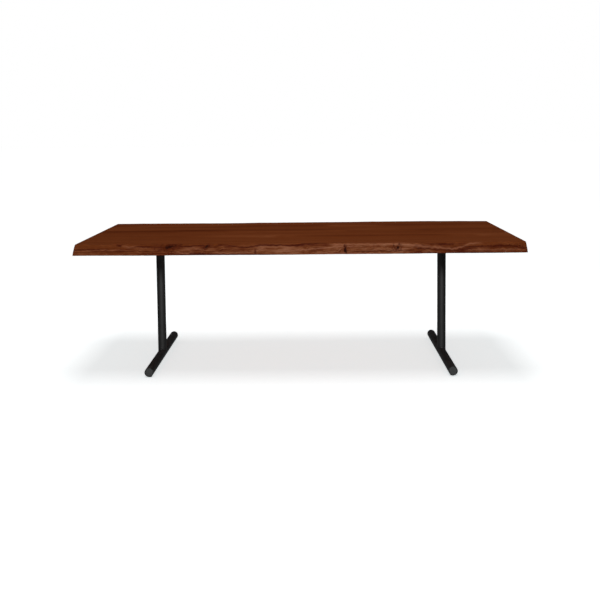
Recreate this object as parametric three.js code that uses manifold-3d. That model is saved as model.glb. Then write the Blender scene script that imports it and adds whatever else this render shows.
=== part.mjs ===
// A live-edge plank table on two T-shaped legs of round steel tube.
// Millimetres. +Z is up, +X runs along the table and -Y is its front.
// The origin is on the floor, under the centre of the top.
import Module from 'manifold-3d';
import * as THREE from 'three';
import { mergeVertices } from 'three/addons/utils/BufferGeometryUtils.js';

const wasm = await Module();
wasm.setup();

// Whole table
const LENGTH = 2438;
const HEIGHT = 762;
const TOP_THICKNESS = 54;
const LEG_X = 846;
const GAP = 0.3;

// Top: the seams between its boards from front to back, and the width of a glue line
const SEAMS = [-345, -232, -108, 4, 122, 228, 348];
const GLUE_LINE = 0.2;

// Live edges: stations [x, y] along the upper and the lower arris, which the tree's outline wanders through
const FRONT_UPPER = [
  [-1219, -457], [-960, -461], [-700, -466], [-420, -469], [-160, -471], [120, -473],
  [420, -477], [610, -476], [790, -465], [930, -475], [1080, -472], [1219, -468],
];
const FRONT_LOWER = [
  [-1219, -506], [-1000, -511], [-800, -519], [-640, -515], [-360, -518], [-55, -523],
  [130, -518], [420, -519], [590, -517], [730, -511], [1060, -512], [1219, -507],
];
const REAR_UPPER = [
  [-1219, 471], [-1000, 474], [-760, 467], [-480, 461], [-250, 471], [60, 475],
  [330, 478], [530, 486], [715, 489], [920, 483], [1080, 475], [1219, 465],
];
const REAR_LOWER = [
  [-1219, 508], [-980, 515], [-720, 502], [-470, 498], [-180, 513], [100, 508],
  [380, 514], [650, 523], [900, 516], [1060, 519], [1219, 503],
];
const EDGE_STEPS = 48;
const FACE_STEPS = 3;
const FACE_BELLY = 0.07;

// Legs
const TUBE_RADIUS = 25.4;
const TUBE_WALL = 3;
const TUBE_SIDES = 40;
const BASE_LENGTH = 783;

// Mounting plates, each with round holes on its centre line and slots near its corners
const PLATE_LENGTH = 640;
const PLATE_WIDTH = 120;
const PLATE_THICKNESS = 8;
const PLATE_CORNER = 14;
const CENTRE_HOLE_Y = 150;
const SLOT_X = 42;
const SLOT_Y = 285;
const SLOT_TRAVEL = 8;
const HOLE_RADIUS = 4.5;
const HOLE_SIDES = 16;
const FASTENER_SIDES = 12;

// Hex flange bolts, M8, and the threaded inserts that they go into
const BOLT_RADIUS = 4;
const BOLT_LENGTH = 25;
const BOLT_FLANGE_RADIUS = 8.9;
const BOLT_FLANGE_HEIGHT = 2.6;
const BOLT_HEAD_HEIGHT = 8;
const BOLT_HEX_RADIUS = 7.5;
const BOLT_POINT = 1;
const INSERT_RADIUS = 7;
const INSERT_LENGTH = 20;
const INSERT_HOLE_DEPTH = 29;
const THREAD_CLEARANCE_RADIUS = BOLT_RADIUS + GAP;

// End caps, cups pressed into the ends of the base tubes
const CAP_RADIUS = TUBE_RADIUS - TUBE_WALL - GAP;
const CAP_RECESS = 1;
const CAP_DEPTH = 13;
const CAP_FACE = 3;
const CAP_SKIRT = 2;
const CAP_CHAMFER = 1.2;
const CAP_SIDES = 24;

// Levelling glides: a pad on a stud that screws into a nut welded inside the base tube
const GLIDE_INSET = 25;
const PAD_RADIUS = 12;
const PAD_HEIGHT = 4.7;
const PAD_CHAMFER = 1.4;
const PAD_SOCKET_FLOOR = 2.2;
const PAD_SIDES = 16;
const STUD_RADIUS = 4;
const STUD_TOP = 28;
const NUT_HEIGHT = 8;
const NUT_RADIUS = 7.5;
const NUT_SEAT = 9.5;

const UNDERSIDE = HEIGHT - TOP_THICKNESS;
const PLATE_BOTTOM = UNDERSIDE - GAP - PLATE_THICKNESS;
const BAR_Z = PAD_HEIGHT + GAP + TUBE_RADIUS;

const wood = { color: 0x57290f, roughness: 0.42, metalness: 0 };
const blackSteel = { color: 0x1a1b1d, roughness: 0.45, metalness: 0.1 };
const capPlastic = { color: 0x2c2d2f, roughness: 0.6, metalness: 0 };
const zincSteel = { color: 0x9a9c9e, roughness: 0.35, metalness: 1 };
const brass = { color: 0xa8893c, roughness: 0.35, metalness: 1 };
const padPlastic = { color: 0x151515, roughness: 0.7, metalness: 0 };

const table = new THREE.Group();

function addNode(parent, name, geometry, look) {
  const mesh = new THREE.Mesh(geometry, new THREE.MeshStandardMaterial(look));
  mesh.name = name;
  parent.add(mesh);
  return mesh;
}

// Booleans

const WELD_TOLERANCE = 0.001;

function toSolid(geometry) {
  const bare = geometry.clone();
  bare.deleteAttribute('normal');
  bare.deleteAttribute('uv');
  const welded = mergeVertices(bare, WELD_TOLERANCE);
  const corners = welded.index.array;
  const faces = [];
  for (let i = 0; i < corners.length; i += 3) {
    const [a, b, c] = corners.slice(i, i + 3);
    if (a !== b && b !== c && c !== a) {
      faces.push(a, b, c);
    }
  }
  return new wasm.Manifold(new wasm.Mesh({
    numProp: 3,
    vertProperties: welded.getAttribute('position').array,
    triVerts: Uint32Array.from(faces),
  }));
}

function toGeometry(solid) {
  const { vertProperties, triVerts } = solid.getMesh();
  const geometry = new THREE.BufferGeometry();
  geometry.setAttribute('position', new THREE.BufferAttribute(vertProperties, 3));
  geometry.setIndex(new THREE.BufferAttribute(triVerts, 1));
  geometry.computeVertexNormals();
  return geometry;
}

function cut(geometry, tools) {
  let solid = toSolid(geometry);
  for (const tool of tools) {
    solid = solid.subtract(toSolid(tool));
  }
  return toGeometry(solid);
}

// Basic shapes, each standing on z = 0 around the Z axis

function upright(geometry) {
  return geometry.rotateX(Math.PI / 2);
}

function drill(radius, height) {
  return upright(new THREE.CylinderGeometry(radius, radius, height, HOLE_SIDES)).translate(0, 0, height / 2);
}

function turned(profile, sides) {
  return upright(new THREE.LatheGeometry(profile.map(([r, z]) => new THREE.Vector2(r, z)), sides));
}

function circle(path, radius) {
  return path.absarc(0, 0, radius, 0, 2 * Math.PI, false);
}

function roundTube(length) {
  const section = circle(new THREE.Shape(), TUBE_RADIUS);
  section.holes.push(circle(new THREE.Path(), TUBE_RADIUS - TUBE_WALL));
  return new THREE.ExtrudeGeometry(section, {
    depth: length,
    bevelEnabled: false,
    curveSegments: TUBE_SIDES / 2,
  });
}

// Table top

function wander(stations) {
  const xs = stations.map(([x]) => x);
  const ys = stations.map(([, y]) => y);
  const line = new THREE.CubicInterpolant(xs, ys, 1);
  return (x) => line.evaluate(x)[0];
}

function liveEdgeBoard(seam, side, upperStations, lowerStations) {
  const upper = wander(upperStations);
  const lower = wander(lowerStations);
  const geometry = new THREE.BoxGeometry(LENGTH, 1, TOP_THICKNESS, EDGE_STEPS, 1, FACE_STEPS);
  const place = geometry.getAttribute('position');
  for (let i = 0; i < place.count; i += 1) {
    const x = place.getX(i);
    const fall = 0.5 - place.getZ(i) / TOP_THICKNESS;
    const share = fall + FACE_BELLY * Math.sin(Math.PI * fall);
    const outer = THREE.MathUtils.lerp(upper(x), lower(x), share);
    const inner = seam + (side * GLUE_LINE) / 2;
    place.setY(i, place.getY(i) * side > 0 ? outer : inner);
  }
  return geometry;
}

function stave(front, rear) {
  const width = rear - front - GLUE_LINE;
  return new THREE.BoxGeometry(LENGTH, width, TOP_THICKNESS).translate(0, (front + rear) / 2, 0);
}

// The places of the bolts on one plate, as [x, y] from the leg's axis
const boltPlaces = [[0, -CENTRE_HOLE_Y], [0, CENTRE_HOLE_Y]];
for (const x of [-SLOT_X, SLOT_X]) {
  boltPlaces.push([x, -SLOT_Y], [x, SLOT_Y]);
}

function insertHoles(front, rear) {
  const holes = [];
  for (const legX of [-LEG_X, LEG_X]) {
    for (const [x, y] of boltPlaces.filter(([, place]) => place > front && place < rear)) {
      const hole = drill(INSERT_RADIUS + GAP, INSERT_HOLE_DEPTH + 1);
      holes.push(hole.translate(legX + x, y, -TOP_THICKNESS / 2 - 1));
    }
  }
  return holes;
}

function addTop() {
  const top = new THREE.Group();
  top.position.z = HEIGHT - TOP_THICKNESS / 2;
  table.add(top);
  const front = SEAMS[0];
  const rear = SEAMS[SEAMS.length - 1];
  addNode(top, 'front_live_edge_board', liveEdgeBoard(front, -1, FRONT_UPPER, FRONT_LOWER), wood);
  addNode(top, 'rear_live_edge_board', liveEdgeBoard(rear, 1, REAR_UPPER, REAR_LOWER), wood);
  for (let i = 1; i < SEAMS.length; i += 1) {
    const holes = insertHoles(SEAMS[i - 1], SEAMS[i]);
    addNode(top, `stave_${i}`, cut(stave(SEAMS[i - 1], SEAMS[i]), holes), wood);
  }
}

// Legs

function post() {
  const height = PLATE_BOTTOM - GAP - BAR_Z;
  const reach = 3 * TUBE_RADIUS;
  const saddle = new THREE.CylinderGeometry(TUBE_RADIUS + GAP, TUBE_RADIUS + GAP, reach, TUBE_SIDES);
  return cut(roundTube(height), [saddle]);
}

function baseTube() {
  const bar = upright(roundTube(BASE_LENGTH)).translate(0, BASE_LENGTH / 2, 0);
  const studHoles = [-1, 1].map((end) => {
    const hole = drill(HOLE_RADIUS, TUBE_RADIUS);
    return hole.translate(0, end * (BASE_LENGTH / 2 - GLIDE_INSET), -1.5 * TUBE_RADIUS);
  });
  return cut(bar, studHoles);
}

function mountingPlate() {
  const x = PLATE_WIDTH / 2;
  const y = PLATE_LENGTH / 2;
  const turn = Math.PI / 2;
  const outline = new THREE.Shape();
  outline.absarc(x - PLATE_CORNER, y - PLATE_CORNER, PLATE_CORNER, 0, turn);
  outline.absarc(PLATE_CORNER - x, y - PLATE_CORNER, PLATE_CORNER, turn, 2 * turn);
  outline.absarc(PLATE_CORNER - x, PLATE_CORNER - y, PLATE_CORNER, 2 * turn, 3 * turn);
  outline.absarc(x - PLATE_CORNER, PLATE_CORNER - y, PLATE_CORNER, 3 * turn, 4 * turn);
  for (const [holeX, holeY] of boltPlaces) {
    const travel = holeX === 0 ? 0 : SLOT_TRAVEL / 2;
    const hole = new THREE.Path();
    hole.absarc(holeX, holeY + travel, HOLE_RADIUS, 0, 2 * turn);
    hole.absarc(holeX, holeY - travel, HOLE_RADIUS, 2 * turn, 4 * turn);
    outline.holes.push(hole);
  }
  return new THREE.ExtrudeGeometry(outline, {
    depth: PLATE_THICKNESS,
    bevelEnabled: false,
    curveSegments: HOLE_SIDES / 4,
  });
}

function flangeBolt() {
  const shank = turned([
    [0, -BOLT_FLANGE_HEIGHT],
    [BOLT_HEX_RADIUS, -BOLT_FLANGE_HEIGHT],
    [BOLT_FLANGE_RADIUS, -BOLT_FLANGE_HEIGHT / 2],
    [BOLT_FLANGE_RADIUS, 0],
    [BOLT_RADIUS, 0],
    [BOLT_RADIUS, BOLT_LENGTH - BOLT_POINT],
    [BOLT_RADIUS - BOLT_POINT, BOLT_LENGTH],
    [0, BOLT_LENGTH],
  ], FASTENER_SIDES);
  const head = upright(new THREE.CylinderGeometry(BOLT_HEX_RADIUS, BOLT_HEX_RADIUS, BOLT_HEAD_HEIGHT - 1, 6));
  head.translate(0, 0, -(BOLT_HEAD_HEIGHT + 1) / 2);
  return toGeometry(toSolid(shank).add(toSolid(head)));
}

function threadedInsert() {
  return turned([
    [THREAD_CLEARANCE_RADIUS, 0],
    [INSERT_RADIUS, 0],
    [INSERT_RADIUS, INSERT_LENGTH],
    [THREAD_CLEARANCE_RADIUS, INSERT_LENGTH],
    [THREAD_CLEARANCE_RADIUS, 0],
  ], FASTENER_SIDES);
}

// The cap's face looks down -Z before it is turned to the end of the tube
function endCap() {
  return turned([
    [0, 0],
    [CAP_RADIUS - CAP_CHAMFER, 0],
    [CAP_RADIUS, CAP_CHAMFER],
    [CAP_RADIUS, CAP_DEPTH],
    [CAP_RADIUS - CAP_SKIRT, CAP_DEPTH],
    [CAP_RADIUS - CAP_SKIRT, CAP_FACE],
    [0, CAP_FACE],
  ], CAP_SIDES);
}

function glidePad() {
  return turned([
    [0, 0],
    [PAD_RADIUS - PAD_CHAMFER, 0],
    [PAD_RADIUS, PAD_CHAMFER],
    [PAD_RADIUS, PAD_HEIGHT - PAD_CHAMFER / 2],
    [PAD_RADIUS - PAD_CHAMFER / 2, PAD_HEIGHT],
    [STUD_RADIUS + GAP, PAD_HEIGHT],
    [STUD_RADIUS + GAP, PAD_SOCKET_FLOOR],
    [0, PAD_SOCKET_FLOOR],
  ], PAD_SIDES);
}

function glideStud() {
  const foot = PAD_SOCKET_FLOOR + GAP;
  return turned([
    [0, foot],
    [STUD_RADIUS, foot],
    [STUD_RADIUS, STUD_TOP - BOLT_POINT],
    [STUD_RADIUS - BOLT_POINT, STUD_TOP],
    [0, STUD_TOP],
  ], FASTENER_SIDES);
}

function weldNut() {
  const nut = upright(new THREE.CylinderGeometry(NUT_RADIUS, NUT_RADIUS, NUT_HEIGHT, 6));
  const bore = drill(STUD_RADIUS + GAP, 2 * NUT_HEIGHT).translate(0, 0, -NUT_HEIGHT);
  return cut(nut, [bore]);
}

function addLeg(side, legX) {
  const leg = new THREE.Group();
  leg.position.x = legX;
  table.add(leg);
  addNode(leg, `${side}_post`, post(), blackSteel).position.z = BAR_Z;
  addNode(leg, `${side}_base_tube`, baseTube(), blackSteel).position.z = BAR_Z;
  addNode(leg, `${side}_mounting_plate`, mountingPlate(), blackSteel).position.z = PLATE_BOTTOM;

  boltPlaces.forEach(([x, y], i) => {
    const bolt = addNode(leg, `${side}_bolt_${i + 1}`, flangeBolt(), zincSteel);
    bolt.position.set(x, y, PLATE_BOTTOM - GAP);
    const insert = addNode(leg, `${side}_insert_${i + 1}`, threadedInsert(), brass);
    insert.position.set(x, y, UNDERSIDE + GAP);
  });

  for (const [end, toward] of [['front', -1], ['rear', 1]]) {
    const cap = addNode(leg, `${side}_${end}_end_cap`, endCap(), capPlastic);
    cap.position.set(0, toward * (BASE_LENGTH / 2 - CAP_RECESS), BAR_Z);
    cap.rotation.x = (toward * Math.PI) / 2;

    const glide = new THREE.Group();
    glide.position.y = toward * (BASE_LENGTH / 2 - GLIDE_INSET);
    leg.add(glide);
    addNode(glide, `${side}_${end}_glide_pad`, glidePad(), padPlastic);
    addNode(glide, `${side}_${end}_glide_stud`, glideStud(), zincSteel);
    addNode(glide, `${side}_${end}_weld_nut`, weldNut(), zincSteel).position.z = NUT_SEAT + NUT_HEIGHT / 2;
  }
}

addTop();
addLeg('left', -LEG_X);
addLeg('right', LEG_X);

export default table;
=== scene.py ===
"""The looks of a live-edge plank table on two black T legs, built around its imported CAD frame.

Metres, in the CAD's own frame: +X along the table, -Y its front, +Z up, the floor at z = 0.
"""
import math

import bmesh
import bpy
import numpy as np
from mathutils import Matrix, Vector


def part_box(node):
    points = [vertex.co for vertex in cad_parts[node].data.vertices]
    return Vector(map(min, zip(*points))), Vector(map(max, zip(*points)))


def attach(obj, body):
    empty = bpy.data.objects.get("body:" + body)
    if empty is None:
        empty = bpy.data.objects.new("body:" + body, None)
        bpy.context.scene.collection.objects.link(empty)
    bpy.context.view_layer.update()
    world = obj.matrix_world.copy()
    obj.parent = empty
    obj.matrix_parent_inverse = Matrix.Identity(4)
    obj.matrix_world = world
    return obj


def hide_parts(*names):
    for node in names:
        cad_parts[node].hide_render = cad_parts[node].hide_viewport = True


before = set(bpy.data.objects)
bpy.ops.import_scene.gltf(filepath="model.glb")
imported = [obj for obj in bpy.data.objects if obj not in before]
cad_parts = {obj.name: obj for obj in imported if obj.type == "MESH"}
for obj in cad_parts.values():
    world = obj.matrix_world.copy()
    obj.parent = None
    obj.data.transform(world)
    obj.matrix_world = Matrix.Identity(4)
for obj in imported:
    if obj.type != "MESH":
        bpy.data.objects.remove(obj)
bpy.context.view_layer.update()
scene = bpy.context.scene

MM = 0.001
TAU = 2 * math.pi

# Camera, in metres, degrees and millimetres, with its shift in shares of the picture
CAMERA_PLACE = (0.0719, -4.5443, 1.3689)
CAMERA_YAW = 0.871
CAMERA_PITCH = -3.776
CAMERA_ROLL = 0.579
CAMERA_LENS = 45.69
CAMERA_SENSOR = 36.0
CAMERA_SHIFT = (-0.0005, -0.1988)

# Planks, from front to back: the place of the pith across the table and above the floor, the degrees it
# runs askew, up and sideways, the stretch of the log that shows, and how light the plank is
FRONT_EDGE = "front_live_edge_board"
REAR_EDGE = "rear_live_edge_board"
PLANKS = {
    FRONT_EDGE: ((-0.245, 0.585), (0.6, -0.5), 0.3, 0.09),
    "stave_1": ((-0.15, 0.64), (-0.9, 0.8), 5.1, 0.07),
    "stave_2": ((-0.185, 0.52), (0.7, 1.1), 9.7, 0.09),
    "stave_3": ((0.06, 0.61), (-0.5, -0.9), 14.2, 0.02),
    "stave_4": ((0.04, 0.56), (1.0, 0.7), 19.9, -0.01),
    "stave_5": ((0.29, 0.63), (-0.7, 0.9), 26.3, 0.06),
    "stave_6": ((0.265, 0.54), (0.8, -1.0), 31.6, -0.02),
    REAR_EDGE: ((0.25, 0.59), (-0.6, 0.6), 38.4, 0.04),
}


# Node trees


def grey(level):
    return (level, level, level)


def rgba(colour):
    return (*colour, 1.0) if isinstance(colour, tuple) and len(colour) == 3 else colour


def add_node(tree, kind, inputs=None, **settings):
    """A new shader node. Its inputs, by name or number, are linked or set."""
    node = tree.nodes.new("ShaderNode" + kind)
    for key, value in settings.items():
        setattr(node, key, value)
    feed(tree, node, inputs or {})
    return node


def feed(tree, node, inputs):
    for key, value in inputs.items():
        socket = node.inputs[key]
        if isinstance(value, bpy.types.NodeSocket):
            tree.links.new(value, socket)
        else:
            socket.default_value = value


class Graph:
    """A material, and its node tree built one node at a time around a Principled shader."""

    def __init__(self, name):
        self.material = bpy.data.materials.new(name)
        self.material.use_nodes = True
        self.tree = self.material.node_tree
        self.tree.nodes.clear()
        self.shader = add_node(self.tree, "BsdfPrincipled")
        add_node(self.tree, "OutputMaterial", {"Surface": self.shader.outputs[0]})

    def add(self, kind, inputs=None, **settings):
        return add_node(self.tree, kind, inputs, **settings)

    def finish(self, **inputs):
        """Feeds the shader, with _ for a space in an input's name, and hands over the material."""
        feed(self.tree, self.shader, {key.replace("_", " "): value for key, value in inputs.items()})
        return self.material

    def place(self):
        return self.add("TexCoord").outputs["Object"]

    def facing(self, axis):
        """How far the surface faces along an axis, from -1 to 1."""
        return self.add("SeparateXYZ", {0: self.add("NewGeometry").outputs["Normal"]}).outputs[axis]

    def mark(self, name):
        """A value that the mesh carries at its points."""
        return self.add("Attribute", attribute_name=name).outputs["Fac"]

    def math(self, operation, first, second=0.0, third=0.0):
        return self.add("Math", {0: first, 1: second, 2: third}, operation=operation).outputs[0]

    def plus(self, first, second):
        return self.math("ADD", first, second)

    def minus(self, first, second):
        return self.math("SUBTRACT", first, second)

    def times(self, first, second):
        return self.math("MULTIPLY", first, second)

    def swing(self, noise, size):
        """A noise moved to swing round zero, times a size."""
        return self.times(self.minus(noise, 0.5), size)

    def between(self, value, low, high, out_low=0.0, out_high=1.0):
        inputs = {"Value": value, 1: low, 2: high, 3: out_low, 4: out_high}
        return self.add("MapRange", inputs, interpolation_type="SMOOTHSTEP").outputs[0]

    def length(self, vector):
        return self.add("VectorMath", {0: vector}, operation="LENGTH").outputs["Value"]

    def stretch(self, vector, scale):
        return self.add("VectorMath", {0: vector, 1: scale}, operation="MULTIPLY").outputs[0]

    def noise(self, vector, scale, detail=2.0, roughness=0.5, output="Fac"):
        vector = self.stretch(vector, scale)
        inputs = {"Vector": vector, "Scale": 1.0, "Detail": detail, "Roughness": roughness}
        return self.add("TexNoise", inputs).outputs[output]

    def bend(self, place, log, scale, size):
        """A place pushed across the log by a noise of this scale and size."""
        noise = self.noise(log, scale, output="Color")
        centred = self.add("VectorMath", {0: noise, 1: grey(0.5)}, operation="SUBTRACT").outputs[0]
        inputs = {0: centred, 1: (0.0, size, size), 2: place}
        return self.add("VectorMath", inputs, operation="MULTIPLY_ADD").outputs[0]

    def ramp(self, value, stops):
        node = self.add("ValToRGB", {"Fac": value})
        points = node.color_ramp.elements
        while len(points) < len(stops):
            points.new(0.5)
        for point, (position, colour) in zip(points, stops):
            point.position = position
            point.color = rgba(colour)
        return node.outputs["Color"]

    def mix(self, factor, first, second):
        inputs = {0: factor, 6: rgba(first), 7: rgba(second)}
        return self.add("Mix", inputs, data_type="RGBA").outputs[2]

    def bump(self, height, distance, strength):
        inputs = {"Height": height, "Distance": distance, "Strength": strength}
        return self.add("Bump", inputs).outputs[0]


# Wood

HEART_DARK = (0.075, 0.012, 0.0014)
HEART_DEEP = (0.12, 0.024, 0.0042)
HEART_MID = (0.16, 0.0365, 0.0078)
HEART_LIGHT = (0.202, 0.0555, 0.017)
HEART_STOPS = [(0.12, HEART_DARK), (0.36, HEART_DEEP), (0.56, HEART_MID), (0.86, HEART_LIGHT)]
SAP_DARK = (0.085, 0.0105, 0.001)
SAP_DEEP = (0.14, 0.029, 0.0055)
SAP_MID = (0.205, 0.057, 0.018)
SAP_LIGHT = (0.285, 0.101, 0.044)
SAP_PALE = (0.37, 0.145, 0.076)
SAP_STOPS = [(0.06, SAP_DARK), (0.34, SAP_DEEP), (0.55, SAP_MID), (0.8, SAP_LIGHT), (1.0, SAP_PALE)]
KNOT_COLOUR = (0.026, 0.0026, 0.0003)
SCAR_COLOUR = (0.06, 0.005, 0.0003)

# Patterns of the grain: changes in a metre along the log and both ways across it, and then the size of
# a bend of the rings in metres, or the detail and roughness of a noise
SLOW_BEND = ((0.8, 3.0, 3.0), 0.085)
QUICK_BEND = ((2.6, 16.0, 16.0), 0.014)
FIBRES = ((6.0, 330.0, 330.0), 4.0, 0.6)
CLOUD = ((1.3, 7.0, 7.0), 3.0, 0.55)
CRAZING = ((90.0, 260.0, 260.0), 4.0, 0.65)
SAP_STREAKS = ((1.7, 15.0, 0.0), 2.5, 0.55)
PORE_SCALE = (75.0, 950.0, 950.0)
BANDS_PER_METRE = 62.0
RINGS_PER_METRE = 165.0
# How much each pattern lightens or darkens the wood
HEART_LEVEL = 0.03
BAND_CONTRAST = 0.95
LATEWOOD_CONTRAST = 0.13
FIBRE_CONTRAST = 0.42
CLOUD_CONTRAST = 0.48
SAP_STREAK_CONTRAST = 2.2
SAP_FIBRE_CONTRAST = 0.5
CRAZING_CONTRAST = 2.2


def log_grain(graph, pith, turn, shift):
    """The patterns in the log that a plank was cut from."""
    pith_y, pith_z = pith
    log = graph.add("Mapping", {
        "Vector": graph.place(),
        "Location": (shift, -pith_y, -pith_z),
        "Rotation": (0.0, math.radians(turn[0]), math.radians(turn[1])),
    }).outputs[0]
    bent = graph.bend(log, log, *SLOW_BEND)
    bent = graph.bend(bent, log, *QUICK_BEND)
    radius = graph.length(graph.stretch(bent, (0.0, 1.0, 1.0)))
    depth = graph.math("MULTIPLY_ADD", radius, BANDS_PER_METRE, 0.5)
    inputs = {"W": depth, "Scale": 1.0, "Detail": 3.0, "Roughness": 0.62}
    bands = graph.add("TexNoise", inputs, noise_dimensions="1D").outputs["Fac"]
    ring = graph.math("FRACT", graph.times(radius, RINGS_PER_METRE))
    cells = graph.add("TexVoronoi", {"Vector": graph.stretch(bent, PORE_SCALE), "Scale": 1.0}).outputs
    round_pores = graph.between(cells["Distance"], 0.42, 0.18)
    return {
        "log": log,
        "bands": bands,
        "latewood": graph.times(graph.between(ring, 0.45, 0.92), graph.between(ring, 1.0, 0.94)),
        "fibres": graph.noise(log, *FIBRES),
        "cloud": graph.noise(log, *CLOUD),
        "pores": graph.times(round_pores, graph.between(cells["Color"], 0.25, 0.6)),
    }


def heartwood(graph, grain, tone):
    level = graph.math("MULTIPLY_ADD", grain["bands"], BAND_CONTRAST, HEART_LEVEL + tone)
    level = graph.minus(level, graph.times(grain["latewood"], LATEWOOD_CONTRAST))
    level = graph.plus(level, graph.swing(grain["fibres"], FIBRE_CONTRAST))
    level = graph.plus(level, graph.swing(grain["cloud"], CLOUD_CONTRAST))
    return graph.ramp(level, HEART_STOPS)


def live_edge_wood(graph, grain, colour, height):
    """Lays a live edge's marks over the heartwood's colour and relief."""
    along = graph.add("SeparateXYZ", {0: grain["log"]}).outputs["X"]
    grown = graph.add("CombineXYZ", {0: along, 1: graph.mark("growth")}).outputs[0]
    grainy = graph.swing(grain["fibres"], SAP_FIBRE_CONTRAST)
    pale = graph.swing(graph.noise(grown, *SAP_STREAKS), SAP_STREAK_CONTRAST)
    pale = graph.plus(pale, graph.mark("pale"))
    pale = graph.plus(graph.plus(grainy, pale), 0.5)
    sap = graph.between(graph.plus(graph.mark("sap"), grainy), 0.3, 0.7)
    colour = graph.mix(sap, colour, graph.ramp(pale, SAP_STOPS))
    # Glow streaks: pale wood, and partly painted highlights where ridges of the face catch light
    colour = graph.mix(graph.mark("glow"), colour, SAP_PALE)

    torn = graph.swing(graph.noise(grain["log"], *CRAZING), CRAZING_CONTRAST)
    scar = graph.times(graph.mark("scar"), graph.plus(graph.plus(torn, grainy), 1.0))
    colour = graph.mix(graph.between(scar, 0.0, 1.0), colour, SCAR_COLOUR)
    knot = graph.plus(graph.mark("knot"), graph.times(torn, 0.4))
    colour = graph.mix(graph.between(knot, 0.28, 0.66), colour, KNOT_COLOUR)
    return colour, graph.minus(height, graph.times(graph.mark("scar"), torn))


def wood(name, pith, turn, shift, tone, live_edge=False):
    """Stained wood with open pores and with darker, rougher end grain."""
    graph = Graph(name)
    grain = log_grain(graph, pith, turn, shift)
    fibres, pores = grain["fibres"], grain["pores"]
    colour = heartwood(graph, grain, tone)
    height = graph.times(grain["latewood"], 0.25)
    height = graph.plus(graph.times(fibres, 0.35), height)
    if live_edge:
        colour, height = live_edge_wood(graph, grain, colour, height)
    end_grain = graph.between(graph.math("ABSOLUTE", graph.facing("X")), 0.7, 0.95)
    colour = graph.mix(graph.times(pores, 0.55), colour, HEART_DARK)
    colour = graph.mix(graph.times(end_grain, 0.45), colour, HEART_DARK)
    rough = graph.plus(graph.times(pores, 0.16), graph.times(fibres, 0.1))
    rough = graph.plus(graph.times(end_grain, 0.14), rough)
    graph.shader.inputs["Specular IOR Level"].default_value = 0.04
    return graph.finish(
        Base_Color=colour,
        Roughness=graph.plus(rough, 0.4),
        Normal=graph.bump(graph.minus(height, pores), 0.25 * MM, 0.6),
    )


# Metals and plastics. Each noise has its changes in a metre, its detail and its roughness

PEEL = (grey(620.0), 2.0, 0.5)
SMEAR = (grey(26.0), 4.0, 0.65)
SPECKS = (grey(1900.0), 1.0, 0.5)
SPARKS = (grey(1500.0), 3.0, 0.7)
PATCHES = (grey(60.0), 3.0, 0.5)
METAL_CLOUD = (grey(240.0), 3.0, 0.6)
TOOL_MARKS = ((900.0, 900.0, 5200.0), 2.0, 0.5)
COAT_DARK = (0.0026, 0.0027, 0.0028)
COAT_LIGHT = (0.0046, 0.0047, 0.0049)


def powder_coat():
    """Satin black powder coat: a fine orange peel, with dust and a painted sheen on what faces up."""
    graph = Graph("satin_black_powder_coat")
    place = graph.place()
    smear = graph.noise(place, *SMEAR)
    speck = graph.between(graph.noise(place, *SPECKS), 0.7, 0.78, 0.0, 0.2)
    # Up-facing parts painted a lighter grey: partly dust, partly a painted sheen where light falls on the
    # tubes
    dust_and_painted_sheen = graph.times(graph.between(graph.facing("Z"), 0.35, 1.0), graph.between(smear, 0.35, 0.75))
    colour = graph.ramp(smear, [(0.3, COAT_DARK), (0.7, COAT_LIGHT)])
    colour = graph.mix(graph.times(dust_and_painted_sheen, 0.75), colour, grey(0.06))
    colour = graph.mix(speck, colour, grey(0.05))
    rough = graph.plus(graph.times(smear, 0.14), graph.times(dust_and_painted_sheen, 0.1))
    graph.shader.inputs["Specular IOR Level"].default_value = 0.55
    return graph.finish(
        Base_Color=colour,
        Roughness=graph.plus(rough, 0.5),
        Normal=graph.bump(graph.noise(place, *PEEL), 0.05 * MM, 0.5),
    )


def moulded(name, dark, light, roughness):
    """Matt moulded plastic with a spark-eroded texture."""
    graph = Graph(name)
    place = graph.place()
    texture = graph.noise(place, *SPARKS)
    return graph.finish(
        Base_Color=graph.ramp(graph.noise(place, *PATCHES), [(0.3, grey(dark)), (0.7, grey(light))]),
        Roughness=graph.between(texture, 0.2, 0.8, roughness - 0.06, roughness + 0.08),
        Normal=graph.bump(texture, 0.04 * MM, 0.6),
    )


def plated(name, dark, light, roughness):
    """Plated or turned metal: cloudy, with fine tool marks."""
    graph = Graph(name)
    place = graph.place()
    cloud = graph.noise(place, *METAL_CLOUD)
    graph.shader.inputs["Metallic"].default_value = 1.0
    return graph.finish(
        Base_Color=graph.ramp(cloud, [(0.3, dark), (0.7, light)]),
        Roughness=graph.between(cloud, 0.25, 0.75, roughness - 0.07, roughness + 0.1),
        Normal=graph.bump(graph.noise(place, *TOOL_MARKS), 0.02 * MM, 0.5),
    )


coat = powder_coat()
cap_plastic = moulded("cap_plastic_matt", 0.03, 0.04, 0.55)
pad_plastic = moulded("pad_plastic_matt", 0.01, 0.016, 0.62)
zinc = plated("zinc_plate", (0.4, 0.41, 0.42), (0.62, 0.63, 0.64), 0.34)
brass = plated("turned_brass", (0.42, 0.3, 0.11), (0.62, 0.46, 0.19), 0.32)


# Meshes

SHARP = math.radians(38)
FILLET_STEPS = 5


def show(mesh, material, replaced, body="table"):
    """Puts a finished mesh in the scene in place of CAD nodes, riding on their body."""
    piece = bpy.data.objects.new(mesh.name, mesh)
    scene.collection.objects.link(piece)
    mesh.materials.clear()
    mesh.materials.append(material)
    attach(piece, body)
    if replaced:
        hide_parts(*replaced)


def settle(mesh):
    """Turns every face outward and shades the mesh smooth, but not across sharp edges."""
    work = bmesh.new()
    work.from_mesh(mesh)
    bmesh.ops.recalc_face_normals(work, faces=work.faces)
    for face in work.faces:
        face.smooth = True
    for edge in work.edges:
        edge.smooth = len(edge.link_faces) == 2 and edge.calc_face_angle(0.0) < SHARP
    work.to_mesh(mesh)
    work.free()
    return mesh


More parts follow.
